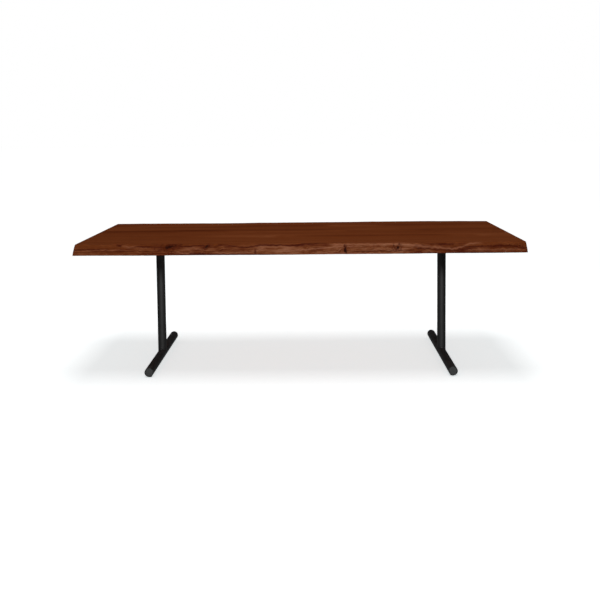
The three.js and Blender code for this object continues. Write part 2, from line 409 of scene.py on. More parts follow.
def skin(name, rings, closed=False):
    """A mesh through rings of points, capped, or closed from the last ring to the first."""
    rings = np.asarray(rings, float)
    count, sides = rings.shape[:2]
    faces = []
    for i in range(count if closed else count - 1):
        here, there = i * sides, (i + 1) % count * sides
        for j in range(sides):
            k = (j + 1) % sides
            faces.append((here + j, here + k, there + k, there + j))
    if not closed:
        faces.append(tuple(range(sides - 1, -1, -1)))
        faces.append(tuple(range((count - 1) * sides, count * sides)))
    mesh = bpy.data.meshes.new(name)
    mesh.from_pydata(rings.reshape(-1, 3).tolist(), [], faces)
    return settle(mesh)


def all_round(sides):
    return np.arange(sides) * TAU / sides


def circle(radius, sides, height):
    """A ring of points round Z. Radius and height are numbers, or a value for each point."""
    angle = all_round(sides)
    ring = np.zeros((sides, 3))
    ring[:, 0] = radius * np.cos(angle)
    ring[:, 1] = radius * np.sin(angle)
    ring[:, 2] = height
    return ring


def turned(profile, sides):
    """Rings for a profile of (radius, height) pairs turned round Z."""
    return np.array([circle(radius, sides, height) for radius, height in profile])


def fillet(centre, radius, start, end):
    """Points of a rounded corner in a profile, between angles in degrees."""
    angles = np.radians(np.linspace(start, end, FILLET_STEPS))
    return [(centre[0] + radius * math.cos(a), centre[1] + radius * math.sin(a)) for a in angles]


def moved(points, place, turn=None):
    points = np.asarray(points, float)
    if turn is not None:
        points = points @ np.array(turn.to_3x3()).T
    return points + np.array(place)


def middle(low, high):
    """The middle of a box, seen from above."""
    return (low.x + high.x) / 2, (low.y + high.y) / 2


def bell(distance, width):
    return np.exp(-((distance / width) ** 2))


def bell_at(value, place, width):
    return bell(value - place, width)


def smooth_step(value, low, high):
    share = np.clip((value - low) / (high - low), 0, 1)
    return share * share * (3 - 2 * share)


def smooth_line(x, stops):
    """A smooth line through stops (x, value), by the slopes between their neighbours."""
    xs, values = np.array(stops, float).T
    slopes = np.gradient(values, xs)
    i = np.clip(np.searchsorted(xs, x) - 1, 0, len(xs) - 2)
    width = xs[i + 1] - xs[i]
    t = np.clip((x - xs[i]) / width, 0, 1)
    rise = values[i] * (1 + 2 * t) * (1 - t) ** 2 + values[i + 1] * t * t * (3 - 2 * t)
    return rise + width * (slopes[i] * t * (1 - t) ** 2 - slopes[i + 1] * t * t * (1 - t))


# Planks

STATION_STEP = 3.6 * MM
STAVE_STEP = 40 * MM
SEAM_OVERLAP = 0.09 * MM
END_EASE = 0.8 * MM
NEAR = 0.2 * MM
# Section of a live-edge board: shares of the way out to its face, and down the face
SEAM_SHARES = (0.0, 0.22, 0.42, 0.60, 0.74, 0.84, 0.90, 0.935, 0.955, 0.972, 0.986, 1.0)
FACE_SHARES = np.linspace(0.0, 1.0, 33)
# Live face: how much of its swell is left at the rims, and how far it bellies, as a share of its lean
SWELL_AT_RIMS = 0.35
BELLY = 0.07
# Worn rims of a live face: how far the wear reaches, how deep it is, and how much goes inward and down,
# with limits for the upper rim's, which varies. FAR stands in for out of reach
UPPER_RIM = (7 * MM, 1.3 * MM, 0.42, 0.9)
LOWER_RIM = (4 * MM, 1.6 * MM, 0.86, -0.5)
UPPER_WEAR = (0.25, 2.0)
FAR = 1.0
# Millimetres that each kind of mark is sunk into the face
HOLLOWS = {"scar": 0.9, "knot": 1.4, "glow": -0.5}

# Ripples on a live edge: size, what is added to the board's seed, number of waves, shortest and longest
# wave, and how many metres the height of the face counts as
RIPPLES = {
    "swell": (1.6 * MM, 0, 8, 0.14, 0.5, 0.12),
    "bumps": (0.55 * MM, 1, 12, 0.03, 0.12, 0.10),
    "texture": (0.25 * MM, 2, 14, 0.008, 0.03, 0.30),
    "wear": (0.5, 3, 6, 0.15, 0.6, 0.0),
    "boundary": (0.012, 4, 6, 0.06, 0.3, 0.0),
    "wobble": (1.0, 5, 9, 0.02, 0.11, 0.05),
    "thickness": (6 * MM, 6, 6, 0.2, 0.7, 0.0),
    "fray": (0.22, 7, 7, 0.014, 0.06, 0.06),
    "paleness": (0.08, 8, 8, 0.06, 0.4, 0.2),
    "ribs": (1.0, 10, 8, 0.010, 0.018, 0.0),
}
# Sapwood: how thick it is at the lower rim, how far past the boundary it starts and is full, and how
# far a wobble moves a point in it
SAP_THICKNESS = 26 * MM
SAP_STARTS = -1.2 * MM
SAP_IS_FULL = 2.4 * MM
DEPTH_WOBBLE = 0.25 * MM
# Marks: how deep they reach, how sharply a spot ends, the strength, place and width of a knot's rings,
# in its radii, and how a streak fades at its ends and wobbles
MARK_DEPTH = 12 * MM
SPOT_HARDNESS = 2.6
KNOT_RINGS = [(0.75, 1.55, 0.22), (0.45, 2.2, 0.22), (0.35, 0.0, 2.2)]
STREAK_FADE = 0.03
STREAK_WOBBLE = 0.02
# Patch of fine ribs: its strength, and its middle and size along the board and down the face
RIB_STRENGTH = 0.22
RIBS_ALONG = (0.17, 0.07)
RIBS_DOWN = (0.62, 0.25)

# Front live edge, along the table: (x, share of the way down the face) where the dark heartwood ends
FRONT_BOUNDARY = [
    (-1.22, 0.6), (-1.18, 0.56), (-1.12, 0.53), (-1.04, 0.5), (-0.98, 0.5), (-0.92, 0.42), (-0.87, 0.32),
    (-0.8, 0.33), (-0.74, 0.36), (-0.66, 0.34), (-0.6, 0.36), (-0.54, 0.24), (-0.47, 0.33), (-0.41, 0.2),
    (-0.36, 0.34), (-0.31, 0.4), (-0.26, 0.38), (-0.21, 0.26), (-0.16, 0.19), (-0.11, 0.23),
    (-0.05, 0.32), (0.0, 0.27), (0.05, 0.17), (0.11, 0.07), (0.17, 0.0), (0.3, -0.04), (0.5, -0.04),
    (0.62, 0.03), (0.68, 0.14), (0.74, 0.27), (0.8, 0.4), (0.86, 0.42), (0.91, 0.46), (0.96, 0.45),
    (1.03, 0.49), (1.1, 0.5), (1.16, 0.51), (1.22, 0.62),
]
# How strongly a dark line marks that boundary, along the table
FRONT_LINE = [
    (-1.22, 0.9), (-1.1, 0.8), (-1.0, 0.3), (-0.93, 0.3), (-0.86, 0.8), (-0.7, 0.7), (-0.6, 0.7),
    (-0.5, 0.7), (-0.42, 0.5), (-0.32, 0.85), (-0.2, 0.85), (-0.1, 0.9), (0.0, 0.95), (0.08, 0.8),
    (0.14, 0.35), (0.2, 0.0), (0.6, 0.0), (0.7, 0.45), (0.78, 0.35), (0.86, 0.2), (0.92, 0.9),
    (1.05, 1.0), (1.16, 1.0), (1.22, 0.9),
]
# Marks on the front live edge, by kind: x, share down the face, half their length along x and down the
# face, lean and strength
FRONT_MARKS = {
    "scar": [
        (-0.975, 0.11, 0.013, 0.13, 0.0, 1.0), (-0.765, 0.06, 0.032, 0.06, 0.0, 0.6),
        (-0.735, 0.52, 0.03, 0.07, -0.1, 0.7), (-0.764, 0.6, 0.022, 0.05, 0.1, 0.6),
        (-0.695, 0.05, 0.042, 0.06, 0.0, 0.9), (-0.62, 0.22, 0.04, 0.06, 0.25, 0.6),
        (-0.522, 0.12, 0.014, 0.1, -0.1, 0.7), (-0.47, 0.1, 0.012, 0.06, 0.0, 0.7),
        (-0.455, 0.3, 0.03, 0.05, 0.0, 0.5), (-0.425, 0.12, 0.02, 0.08, 0.0, 0.75),
        (-0.535, 0.9, 0.06, 0.14, 0.0, 1.0), (-0.815, 0.9, 0.045, 0.05, 0.02, 0.65),
        (-0.3, 0.78, 0.03, 0.03, 0.0, 0.5), (-0.234, 0.72, 0.007, 0.26, 0.0, 0.8),
        (-0.262, 0.68, 0.022, 0.04, 0.0, 0.7), (0.245, 0.3, 0.008, 0.28, 0.0, 0.85),
        (0.4, 0.35, 0.004, 0.35, 0.0, 0.35), (0.53, 0.22, 0.005, 0.22, 0.0, 0.4),
        (0.775, 0.18, 0.06, 0.095, 0.0, 1.0), (0.69, 0.07, 0.04, 0.04, 0.1, 0.6),
        (0.865, 0.12, 0.04, 0.05, -0.1, 0.5), (1.09, 0.36, 0.11, 0.085, 0.0, 0.95),
        (0.86, 0.8, 0.07, 0.08, 0.02, 0.6), (1.2, 0.55, 0.012, 0.14, 0.0, 0.6),
    ],
    "knot": [
        (-0.7, 0.25, 0.022, 0.15, -0.12, 1.0), (-0.499, 0.24, 0.008, 0.12, -0.05, 1.0),
        (0.529, 0.42, 0.009, 0.14, -0.02, 1.0),
    ],
    "split": [
        (0.246, 0.62, 0.0085, 0.27, 0.0, 1.0),
    ],
}
# Streaks on the front live edge, pale as "glow" and dark as "scar": width down the face, strength, and
# a line of (x, share down the face). A "glow" streak is partly pale wood and partly a painted highlight
# where a ridge of the face catches light
FRONT_STREAKS = {
    "glow": [
        (0.045, 0.65, [(-0.12, 0.74), (0.0, 0.6), (0.1, 0.46), (0.2, 0.34), (0.3, 0.3)]),
        (0.06, 0.6, [(0.17, 0.12), (0.3, 0.1), (0.42, 0.1), (0.56, 0.14), (0.64, 0.26), (0.72, 0.42)]),
        (0.065, 0.55, [(0.7, 0.4), (0.77, 0.54), (0.83, 0.57), (0.88, 0.38), (0.92, 0.12), (0.97, 0.07)]),
        (0.05, 0.3, [(-1.19, 0.6), (-1.1, 0.5), (-1.0, 0.52), (-0.9, 0.56)]),
        (0.08, 0.35, [(-0.95, 0.14), (-0.92, 0.24), (-0.88, 0.18)]),
        (0.1, 0.35, [(-0.62, 0.5), (-0.57, 0.34), (-0.53, 0.46)]),
        (0.06, 0.5, [(-0.46, 0.76), (-0.36, 0.8), (-0.26, 0.74)]),
        (0.07, 0.35, [(-0.22, 0.3), (-0.13, 0.28), (-0.02, 0.4)]),
        (0.05, 0.55, [(0.25, 0.92), (0.4, 0.92), (0.6, 0.92)]),
        (0.06, 0.3, [(0.9, 0.7), (0.96, 0.66), (1.02, 0.68), (1.18, 0.66)]),
        (0.1, 0.4, [(0.55, 0.24), (0.64, 0.34), (0.71, 0.42), (0.77, 0.46)]),
        (0.06, 0.45, [(-0.66, 0.74), (-0.62, 0.8), (-0.57, 0.72)]),
        (0.07, 0.35, [(-0.14, 0.66), (-0.06, 0.58), (0.0, 0.78)]),
    ],
    "scar": [
        (0.05, 0.75, [(0.28, 0.76), (0.4, 0.73), (0.52, 0.72), (0.62, 0.66)]),
        (0.05, 0.75, [(0.62, 0.5), (0.7, 0.6), (0.76, 0.7), (0.83, 0.74), (0.88, 0.66), (0.95, 0.46)]),
        (0.035, 0.75, [(-1.14, 0.6), (-1.0, 0.59), (-0.88, 0.59), (-0.79, 0.64)]),
        (0.05, 0.65, [(-0.42, 0.18), (-0.36, 0.23), (-0.3, 0.32), (-0.24, 0.23), (-0.18, 0.11)]),
        (0.055, 0.8, [
            (-0.22, 0.12), (-0.15, 0.1), (-0.07, 0.17), (0.0, 0.12), (0.08, 0.05), (0.16, 0.01),
        ]),
        (0.04, 0.3, [(-1.2, 0.8), (-1.0, 0.82), (-0.8, 0.78), (-0.66, 0.82)]),
        (0.04, 0.45, [(-0.46, 0.56), (-0.3, 0.52), (-0.16, 0.44)]),
        (0.03, 0.3, [(-0.1, 0.52), (0.05, 0.62), (0.2, 0.7)]),
        (0.03, 0.3, [(0.26, 0.34), (0.4, 0.3), (0.52, 0.34)]),
        (0.04, 0.45, [(0.62, 0.9), (0.75, 0.86), (0.9, 0.88)]),
    ],
}
# How dark the front live edge's lower rim is, along the table
FRONT_HEM = [
    (-1.22, 0.25), (-0.95, 0.3), (-0.78, 0.7), (-0.6, 1.0), (-0.2, 0.9), (-0.05, 0.5), (0.1, 0.4),
    (0.24, 0.1), (0.56, 0.1), (0.66, 0.55), (0.8, 0.9), (1.22, 0.9),
]
# How much paler its sapwood is than the middle of its range, along the table
FRONT_PALENESS = [
    (-1.22, -0.12), (-0.9, -0.12), (-0.7, -0.1), (-0.5, -0.06), (-0.3, -0.05), (-0.1, 0.13), (0.05, 0.02),
    (0.3, 0.04), (0.5, 0.16), (0.66, -0.06), (0.8, -0.22), (1.0, -0.16), (1.22, -0.2),
]
# The same for the rear live edge
REAR_BOUNDARY = [
    (-1.22, 0.3), (-0.95, 0.42), (-0.7, 0.22), (-0.45, 0.35), (-0.2, 0.5), (0.05, 0.28), (0.3, 0.14),
    (0.55, 0.3), (0.8, 0.45), (1.0, 0.26), (1.22, 0.38),
]
REAR_LINE = [(-1.22, 0.6), (-0.8, 0.9), (-0.3, 0.4), (0.1, 0.9), (0.5, 0.5), (0.9, 0.9), (1.22, 0.6)]
REAR_MARKS = {
    "scar": [
        (-0.86, 0.52, 0.05, 0.08, 0.0, 0.6), (-0.31, 0.62, 0.008, 0.22, 0.0, 0.8),
        (0.74, 0.85, 0.07, 0.07, 0.0, 0.7), (1.02, 0.4, 0.01, 0.2, 0.0, 0.7),
    ],
    "knot": [
        (-0.88, 0.3, 0.03, 0.16, 0.04, 1.0), (0.12, 0.2, 0.012, 0.1, 0.0, 0.9),
        (0.47, 0.55, 0.016, 0.14, -0.03, 0.9),
    ],
}
REAR_STREAKS = {
    "glow": [
        (0.06, 0.4, [(-0.6, 0.55), (-0.3, 0.75), (0.0, 0.6)]),
        (0.06, 0.4, [(0.2, 0.4), (0.55, 0.6), (0.9, 0.72)]),
    ],
    "scar": [
        (0.04, 0.4, [(-1.15, 0.7), (-0.9, 0.6), (-0.6, 0.74)]),
        (0.04, 0.4, [(-0.2, 0.8), (0.2, 0.7), (0.5, 0.84)]),
    ],
}
REAR_HEM = [(-1.22, 0.6), (-0.6, 0.9), (0.0, 0.5), (0.6, 0.8), (1.22, 0.6)]
REAR_PALENESS = [(-1.22, -0.1), (-0.5, 0.1), (0.1, -0.05), (0.6, 0.1), (1.22, -0.1)]
# The side of the table that each live edge is on, its seed and its tables
LIVE_EDGES = {
    FRONT_EDGE: {
        "side": -1, "seed": 11, "boundary": FRONT_BOUNDARY, "line": FRONT_LINE, "marks": FRONT_MARKS,
        "streaks": FRONT_STREAKS, "hem": FRONT_HEM, "paleness": FRONT_PALENESS,
    },
    REAR_EDGE: {
        "side": 1, "seed": 23, "boundary": REAR_BOUNDARY, "line": REAR_LINE, "marks": REAR_MARKS,
        "streaks": REAR_STREAKS, "hem": REAR_HEM, "paleness": REAR_PALENESS,
    },
}


def stations(low, high, step):
    """Places along a plank: its ends, the ends of their eased edges, and even steps between."""
    inner = np.linspace(low + END_EASE, high - END_EASE, max(2, round((high - low) / step)))
    return np.concatenate([[low], inner, [high]])


def rim(rows, columns):
    """The places round the edge of a grid, in order."""
    top = [(i, 0) for i in range(rows)]
    outer = [(rows - 1, j) for j in range(1, columns)]
    bottom = [(i, columns - 1) for i in range(rows - 2, -1, -1)]
    inner = [(0, j) for j in range(columns - 2, 0, -1)]
    return np.array(top + outer + bottom + inner)


def plank_mesh(name, xs, ys, zs, marks):
    """A solid plank. ys and zs hold a grid of section points at each station, and marks a value for each."""
    count, rows, columns = ys.shape
    edge = rim(rows, columns)
    sides = len(edge)
    points = np.stack([np.broadcast_to(xs[:, None, None], ys.shape), ys, zs], axis=-1)
    vertices = [points[:, edge[:, 0], edge[:, 1]].reshape(-1, 3)]
    values = {key: [grid[:, edge[:, 0], edge[:, 1]].reshape(-1)] for key, grid in marks.items()}
    faces = []
    for i in range(count - 1):
        for j in range(sides):
            k = (j + 1) % sides
            faces.append((i * sides + j, i * sides + k, (i + 1) * sides + k, (i + 1) * sides + j))
    used = count * sides
    inside = (rows - 2) * (columns - 2)
    for station in (0, count - 1):
        index = np.zeros((rows, columns), int)
        index[edge[:, 0], edge[:, 1]] = station * sides + np.arange(sides)
        index[1:-1, 1:-1] = used + np.arange(inside).reshape(rows - 2, columns - 2)
        used += inside
        vertices.append(points[station, 1:-1, 1:-1].reshape(-1, 3))
        for key, grid in marks.items():
            values[key].append(grid[station, 1:-1, 1:-1].reshape(-1))
        for i in range(rows - 1):
            for j in range(columns - 1):
                corners = (i, j), (i + 1, j), (i + 1, j + 1), (i, j + 1)
                faces.append(tuple(int(index[corner]) for corner in corners))
    mesh = bpy.data.meshes.new(name)
    mesh.from_pydata(np.concatenate(vertices).tolist(), [], faces)
    for key, parts in values.items():
        attribute = mesh.attributes.new(key, "FLOAT", "POINT")
        attribute.data.foreach_set("value", np.concatenate(parts).astype(np.float32))
    return settle(mesh)


def ease_ends(ys, zs, low, high, outer=0):
    """Draws the end stations in a little. outer is the side of a live edge, if there is one."""
    for station in (0, -1):
        zs[station] = np.clip(zs[station], low + END_EASE, high - END_EASE)
        ys[station, -1] -= outer * END_EASE


def stave(node):
    """An inner plank. Its sides reach just into its neighbours, so that no gap shows."""
    low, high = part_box(node)
    xs = stations(low.x, high.x, STAVE_STEP)
    across = np.linspace(low.y - SEAM_OVERLAP, high.y + SEAM_OVERLAP, num=7)
    down = np.linspace(high.z, low.z, num=5)
    shape = (len(xs), len(across), len(down))
    ys = np.broadcast_to(across[None, :, None], shape).copy()
    zs = np.broadcast_to(down[None, None, :], shape).copy()
    ease_ends(ys, zs, low.z, high.z)
    mesh = plank_mesh(node + "_wood", xs, ys, zs, {})
    show(mesh, wood(node + "_grain", *PLANKS[node]), [node])


def outline(node, side, height, xs):
    """The smoothed outer edge of a CAD plank at one height."""
    points = np.array([v.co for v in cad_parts[node].data.vertices])
    level = points[np.abs(points[:, 2] - height) < NEAR]
    corners = np.unique(np.round(level[:, 0], 4))
    reach = [max(side * level[np.abs(level[:, 0] - x) < NEAR][:, 1]) for x in corners]
    return side * smooth_line(xs, list(zip(corners, reach)))


def ripples(kind, seed, x, share=0.0):
    """Smooth waviness on a live edge, from sines of seeded lengths and headings."""
    size, offset, waves, shortest, longest, face_height = RIPPLES[kind]
    random = np.random.default_rng(seed + offset)
    y = face_height * share
    total = np.zeros(np.broadcast(x, y).shape)
    for _ in range(waves):
        length = shortest * (longest / shortest) ** random.random()
        lean = random.uniform(-1.0, 1.0)
        total = total + np.sin(TAU * (x + lean * y) / length + random.uniform(0, TAU))
    return size * (total / math.sqrt(waves / 2))


def along(x, stops):
    """A smooth value by the place along the plank, for a grid of section points."""
    return smooth_line(x[:, 0, 0], stops)[:, None, None]


def sapwood(x, share, ys, zs, upper, lower, box, edge):
    """How far each point lies past the heartwood, in metres and in growth, and its wobble."""
    side, seed = edge["side"], edge["seed"]
    low, high = box
    line_x = x[:, 0, 0]
    boundary = smooth_line(line_x, edge["boundary"]) + ripples("boundary", seed, line_x)
    thickness = SAP_THICKNESS + ripples("thickness", seed, line_x)
    start_y = side * (upper + (lower - upper) * boundary)
    start_z = high.z - (high.z - low.z) * boundary
    run_y = side * lower - thickness - start_y
    run_z = low.z - start_z
    reach = np.hypot(run_y, run_z)[:, None, None]
    outward = (side * ys - start_y[:, None, None]) * -run_z[:, None, None]
    downward = (start_z[:, None, None] - zs) * -run_y[:, None, None]
    wobble = ripples("wobble", seed, x, share)
    depth = (outward + downward) / reach + DEPTH_WOBBLE * wobble
    growth = depth * reach / (thickness * -run_z)[:, None, None]
    return depth, growth, wobble


def boundary_scar(x, share, depth, sap, outside, edge):
    """The dark line where the heartwood ends, and the dark hem along the lower rim."""
    fade = np.exp(np.minimum(depth, 0) / (5 * MM)) * (1 - sap)
    line = along(x, edge["line"]) * np.maximum(bell(depth + 1.7 * MM, 3.1 * MM), 0.5 * fade)
    hem = 0.9 * along(x, edge["hem"]) * outside * bell(share - 1, 0.11)
    return np.maximum(line, hem)


def spots(x, share, outside, edge):
    """Scars, splits and knots: ovals with a frayed rim. A knot has dark rings round it."""
    scar = np.zeros(x.shape)
    knot = np.zeros(x.shape)
    fray = 1 + ripples("fray", edge["seed"], x, share)
    for kind, marks in edge["marks"].items():
        for mark_x, mark_share, length, drop, lean, force in marks:
            aside = (x - mark_x - lean * (share - mark_share)) / length
            above = (share - mark_share) / drop
            away = np.sqrt(aside**2 + above**2) * fray
            core = force * outside * np.exp(-(away**SPOT_HARDNESS))
            if kind != "scar":
                knot = np.maximum(knot, core)
            if kind == "knot":
                rings = sum(strength * bell_at(away, *ring) for strength, *ring in KNOT_RINGS)
                core = np.maximum(core, force * outside * rings)
            scar = np.maximum(scar, core)
    return scar, knot


def streaks(x, share, wobble, outside, lines):
    total = np.zeros(x.shape)
    for width, force, line in lines:
        first, last = line[0][0], line[-1][0]
        start = smooth_step(x, first - STREAK_FADE, first + STREAK_FADE)
        stop = smooth_step(x, last - STREAK_FADE, last + STREAK_FADE)
        below = share - along(x, line) + STREAK_WOBBLE * wobble
        total = np.maximum(total, force * start * (1 - stop) * outside * bell(below, width))
    return total


def live_edge_marks(x, share, inward, ys, zs, upper, lower, box, edge):
    """The values at each point that colour a live edge."""
    depth, growth, wobble = sapwood(x, share, ys, zs, upper, lower, box, edge)
    sap = smooth_step(depth, SAP_STARTS, SAP_IS_FULL)
    outside = bell(inward, MARK_DEPTH)
    scar = boundary_scar(x, share, depth, sap, outside, edge)
    spot_scar, knot = spots(x, share, outside, edge)
    # Glow: pale streaks, partly painted highlights along ridges of the face
    glow = streaks(x, share, wobble, outside, edge["streaks"]["glow"])
    streak_scar = streaks(x, share, wobble, outside, edge["streaks"]["scar"])
    ribs = RIB_STRENGTH * bell_at(x, *RIBS_ALONG) * bell_at(share, *RIBS_DOWN) * outside
    ribs = ribs * np.clip(ripples("ribs", edge["seed"], x), 0, 1)
    for more in (spot_scar, streak_scar, ribs):
        scar = np.maximum(scar, more)
    pale = along(x, edge["paleness"]) + ripples("paleness", edge["seed"], x, share)
    return {"sap": sap, "growth": growth, "pale": pale, "scar": scar, "knot": knot, "glow": glow}


def live_edge_face(x, share, upper, lower, side, seed):
    """How far out a live face stands, bellied and waved between its two outlines."""
    arch = np.sin(math.pi * share)
    swell = ripples("swell", seed, x, share) * (SWELL_AT_RIMS + (1 - SWELL_AT_RIMS) * arch)
    swell = swell + ripples("bumps", seed, x, share)
    swell = swell + ripples("texture", seed, x, share)
    belly = share + BELLY * arch
    return upper[:, None, None] + (lower - upper)[:, None, None] * belly + side * swell


def live_edge_plank(node):
    """A plank whose section is a grid from the seam to the live face and from top to bottom."""
    edge = LIVE_EDGES[node]
    side, seed = edge["side"], edge["seed"]
    low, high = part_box(node)
    xs = stations(low.x, high.x, STATION_STEP)
    seam = low.y if side > 0 else high.y
    seam -= side * SEAM_OVERLAP
    upper = outline(node, side, high.z, xs)
    lower = outline(node, side, low.z, xs)
    thickness = high.z - low.z
    x = np.broadcast_to(xs[:, None, None], (len(xs), len(SEAM_SHARES), len(FACE_SHARES)))
    share = np.broadcast_to(FACE_SHARES[None, None, :], x.shape)
    toward = np.array(SEAM_SHARES)[None, :, None]
    outer = live_edge_face(x, share, upper, lower, side, seed)
    ys = seam + (outer - seam) * toward
    zs = high.z - thickness * share + np.zeros_like(ys)

    inward = (1 - toward) * np.abs(outer - seam)
    face_length = np.hypot(thickness, (lower - upper)[:, None, None])
    on_face = toward == 1
    upper_wear = np.clip(1 + ripples("wear", seed, x), *UPPER_WEAR)
    for end, wear, rim_wear in ((0, upper_wear, UPPER_RIM), (1, 1.0, LOWER_RIM)):
        reach, depth, goes_in, goes_down = rim_wear
        down_face = np.where(on_face, np.abs(share - end) * face_length, FAR)
        away = np.where(share == end, inward, down_face)
        ease = depth * wear * np.clip(1 - away / reach, 0, 1) ** 2
        ys = ys - side * goes_in * ease
        zs = zs - goes_down * ease

    marks = live_edge_marks(x, share, inward, ys, zs, upper, lower, (low, high), edge)
    hollow = sum(depth * marks[kind] for kind, depth in HOLLOWS.items())
    ys = ys - side * hollow * MM * on_face * np.sin(math.pi * share) ** 0.5
    ease_ends(ys, zs, low.z, high.z, side)
    mesh = plank_mesh(node + "_wood", xs, ys, zs, marks)
    material = wood(node + "_grain", *PLANKS[node], live_edge=True)
    show(mesh, material, [node])


for plank in PLANKS:
    if plank in LIVE_EDGES:
        live_edge_plank(plank)
    else:
        stave(plank)


# Legs

TUBE_SIDES = 96
TUBE_WALL = 3 * MM
LIP = 0.5 * MM
POST_SHARES = [0, 0.004, 0.012, *np.linspace(0.04, 1, 25)]
WELD_STEPS = 240
PLATE_BEAD = 3.0 * MM


def long_turn(side):
    """The turn that lays a piece built along Z down along Y, its start at the given side."""
    return Matrix.Rotation(math.radians(-90 * side), 4, "X")


def base_tube(side):
    node = side + "_base_tube"
    low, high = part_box(node)
    radius = (high.z - low.z) / 2
    inner = radius - TUBE_WALL
    half = (high.y - low.y) / 2
    end = fillet((radius - LIP, half - LIP), LIP, 0, 90) + fillet((inner + LIP, half - LIP), LIP, 90, 180)
    steps = np.linspace(-0.96, 0.96, num=25) * half
    start = [(r, -z) for r, z in reversed(end)]
    inside = [(inner, z) for z in reversed(steps)]
    profile = [(radius, z) for z in steps] + end + inside + start
    rings = moved(turned(profile, TUBE_SIDES), (low + high) / 2, long_turn(-1))
    show(skin(node + "_coated", rings, closed=True), coat, [node])


def leg_joint(side):
    """The post's radius, where its axis meets the base tube's, and the plate's underside."""
    low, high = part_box(side + "_post")
    bar_low, bar_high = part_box(side + "_base_tube")
    plate_low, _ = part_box(side + "_mounting_plate")
    return (high.x - low.x) / 2, (*middle(low, high), (bar_low.z + bar_high.z) / 2), plate_low.z


def saddle(wall, radius):
    """How far above the base tube's axis a round wall meets it, round the wall."""
    angle = all_round(TUBE_SIDES)
    return np.sqrt(np.maximum(radius**2 - (wall * np.cos(angle)) ** 2, 0))


def post(side):
    node = side + "_post"
    radius, centre, plate_z = leg_joint(side)
    top = plate_z - centre[2]
    rings = []
    for wall, order in ((radius, 1), (radius - TUBE_WALL, -1)):
        foot = saddle(wall, radius)
        for share in POST_SHARES[::order]:
            rings.append(circle(wall, TUBE_SIDES, foot + (top - foot) * share))
    show(skin(node + "_coated", moved(rings, centre), closed=True), coat, [node])


def bead(name, path, outward, across, size, waves):
    """A rippled weld bead: a round section carried along a closed path."""
    angles = all_round(sides=14)
    sections = []
    for i, (point, out, side, radius) in enumerate(zip(path, outward, across, size)):
        swell = 1 + 0.07 * abs(math.sin(waves * math.pi * i / len(path)))
        offsets = np.outer(np.cos(angles), out) + np.outer(np.sin(angles), side)
        sections.append(point + radius * swell * offsets)
    show(skin(name, sections, closed=True), coat, [])


def unit(vectors):
    return vectors / np.linalg.norm(vectors, axis=1)[:, None]


def saddle_weld(side):
    """The bead round the post's foot, fuller where the walls meet squarely."""
    radius, centre, _ = leg_joint(side)
    angle = all_round(WELD_STEPS)
    rise = np.sqrt(np.sin(angle) ** 2 + 0.10**2)
    wall = np.stack([np.cos(angle), np.sin(angle), 0 * angle], axis=1)
    tube = np.stack([np.cos(angle), 0 * angle, rise], axis=1)
    outward = unit(wall + tube)
    path = centre + radius * np.stack([np.cos(angle), np.sin(angle), rise], axis=1)
    heading = np.roll(path, -1, axis=0) - np.roll(path, 1, axis=0)
    across = unit(np.cross(heading, outward))
    fullness = np.sin(angle) ** 2
    size = (1.5 + 1.9 * fullness) * MM
    path = path + outward * (-0.9 + 1.5 * fullness)[:, None] * MM
    bead(side + "_saddle_weld", path, outward, across, size, waves=70)


def plate_weld(side):
    radius, centre, plate_z = leg_joint(side)
    angle = all_round(WELD_STEPS)
    outward = np.stack([np.cos(angle), np.sin(angle), 0 * angle], axis=1)
    upward = np.tile([0.0, 0.0, 1.0], (WELD_STEPS, 1))
    path = centre + (radius + 0.2 * PLATE_BEAD) * outward
    path[:, 2] = plate_z - 0.3 * PLATE_BEAD
    size = np.full(WELD_STEPS, PLATE_BEAD)
    bead(side + "_plate_weld", path, outward, upward, size, waves=64)


def plate(side):
    """The mounting plate, with its CAD outline and holes and with eased edges."""
    node = side + "_mounting_plate"
    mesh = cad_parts[node].data.copy()
    mesh.name = node + "_coated"
    work = bmesh.new()
    work.from_mesh(mesh)
    bmesh.ops.remove_doubles(work, verts=work.verts, dist=0.001 * MM)
    bmesh.ops.dissolve_limit(work, angle_limit=math.radians(1), verts=work.verts, edges=work.edges)
    rims = [e for e in work.edges if len(e.link_faces) == 2 and e.calc_face_angle(0.0) > math.radians(60)]
    bmesh.ops.bevel(work, geom=rims, offset=0.7 * MM, segments=3, profile=0.5, affect="EDGES")
    work.to_mesh(mesh)
    work.free()
    settle(mesh)
    for face in mesh.polygons:
        face.use_smooth = abs(face.normal.z) < 0.99
    show(mesh, coat, [node])


# Small pieces. AXIS stands in for a radius of nothing, so that no ring shrinks to a point

AXIS = 0.01 * MM
# End plug, in millimetres: its face as (radius, depth), and its groove as (distance in from the rim,
# depth)
CAP_DOME = [(0.01, -0.35), (3.0, -0.33), (9.0, -0.15)]
CAP_GROOVE = [(4.6, 0.1), (4.2, 0.5), (3.4, 0.5), (3.0, 0.1), (1.4, 0.15)]
CAP_RIM = 1.2 * MM
CAP_FLOOR = 3 * MM
# Glide pad, in millimetres: the ring under it as (distance in from the rim, height), the dish in its
# top as (radius, depth), and the floor of its socket
PAD_RIM = 1.2 * MM
PAD_RING = [(3.4, 0.0), (3.0, 0.3), (2.6, 0.0)]
PAD_DISH = [(7.2, 0.0), (6.9, 0.4), (4.3, 0.4)]
PAD_SOCKET = 4.3 * MM
PAD_FLOOR = 2.2 * MM
# Threads: M8 coarse
PITCH = 1.25 * MM
THREAD_DEPTH = 0.54 * PITCH
STUD_SIDES = 28
